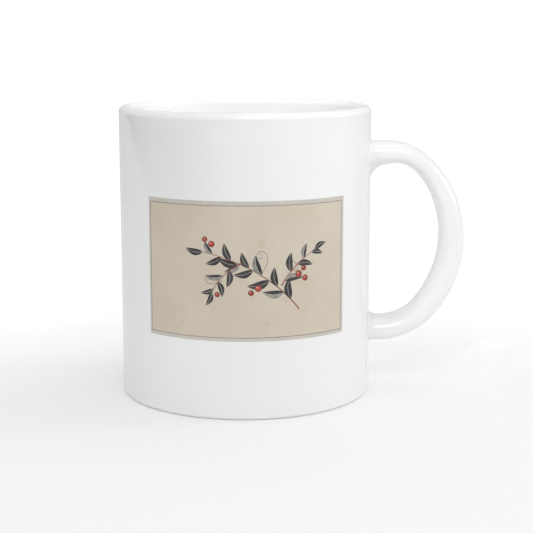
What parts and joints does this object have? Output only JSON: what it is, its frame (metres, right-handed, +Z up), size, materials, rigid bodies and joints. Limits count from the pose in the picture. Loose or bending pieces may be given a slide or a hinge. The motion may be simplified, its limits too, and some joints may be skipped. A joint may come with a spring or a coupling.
{
  "type": "ceramic mug",
  "caption": "Straight-walled glazed ceramic mug with a C-shaped handle, a foot ring and a printed panel on its wall.",
  "frame": {"origin": "on the cup's axis, in the plane of the foot ring that it stands on", "axes": "+Z up along the cup's axis, +X towards the handle, -Y towards the middle of the printed panel"},
  "size_m": [0.114, 0.0825, 0.095],
  "materials": {
    "white_glaze": "gloss",
    "printed_film": "gloss"
  },
  "bodies": {
    "root": {"cup": "white_glaze", "handle": "white_glaze", "print_panel": "printed_film"}
  },
  "joints": []
}
